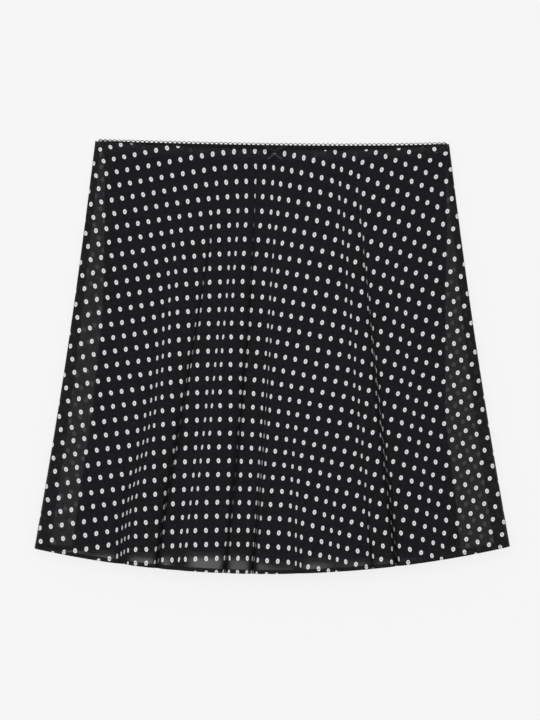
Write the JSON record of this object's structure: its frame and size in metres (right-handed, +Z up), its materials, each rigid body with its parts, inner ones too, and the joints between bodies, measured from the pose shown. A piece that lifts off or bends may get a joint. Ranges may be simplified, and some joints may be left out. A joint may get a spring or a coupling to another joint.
{
  "type": "mini skirt",
  "caption": "A-line mini skirt in sheer spotted chiffon over an opaque slip lining, with an elastic waist and a small ribbon bow, lying flat.",
  "frame": {"origin": "on the surface that the skirt lies on, under the middle of its outline", "axes": "+X across the skirt to the viewer's right, +Y up its length to the waist, +Z up from the surface, through the back and then the front"},
  "size_m": [0.4516, 0.4104, 0.0174],
  "materials": {
    "chiffon": "sheer woven",
    "lining": "matte",
    "elastic": "ribbed",
    "ribbon": "satin"
  },
  "bodies": {
    "root": {"front_panel": "chiffon", "back_panel": "chiffon", "front_hem": "chiffon", "back_hem": "chiffon", "front_lining": "lining", "back_lining": "lining", "waist_elastic_front": "elastic", "waist_elastic_back": "elastic", "bow_loop_left": "ribbon", "bow_loop_right": "ribbon", "bow_knot": "ribbon", "bow_tail_left": "ribbon", "bow_tail_right": "ribbon"}
  },
  "joints": []
}
